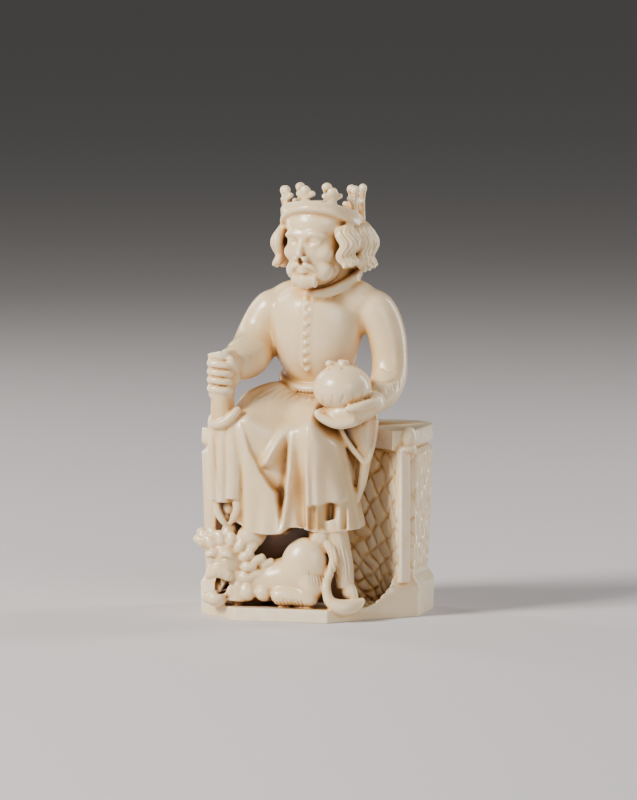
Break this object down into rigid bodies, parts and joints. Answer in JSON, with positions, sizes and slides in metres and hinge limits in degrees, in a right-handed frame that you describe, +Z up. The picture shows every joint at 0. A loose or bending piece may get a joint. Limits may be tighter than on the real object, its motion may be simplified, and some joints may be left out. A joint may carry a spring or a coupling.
{
  "type": "chess king",
  "caption": "Carved ivory chess king seated on a throne with a lion under the feet, crowned, holding a staff stump and an orb.",
  "frame": {"origin": "middle of the foot's underside", "axes": "+Z up, -Y towards the front of the throne, +X towards the king's left hand"},
  "size_m": [0.0368, 0.0306, 0.073],
  "materials": {
    "ivory": "polished ivory, brown in the recesses"
  },
  "bodies": {
    "root": {"chess_king": "ivory"}
  },
  "joints": []
}
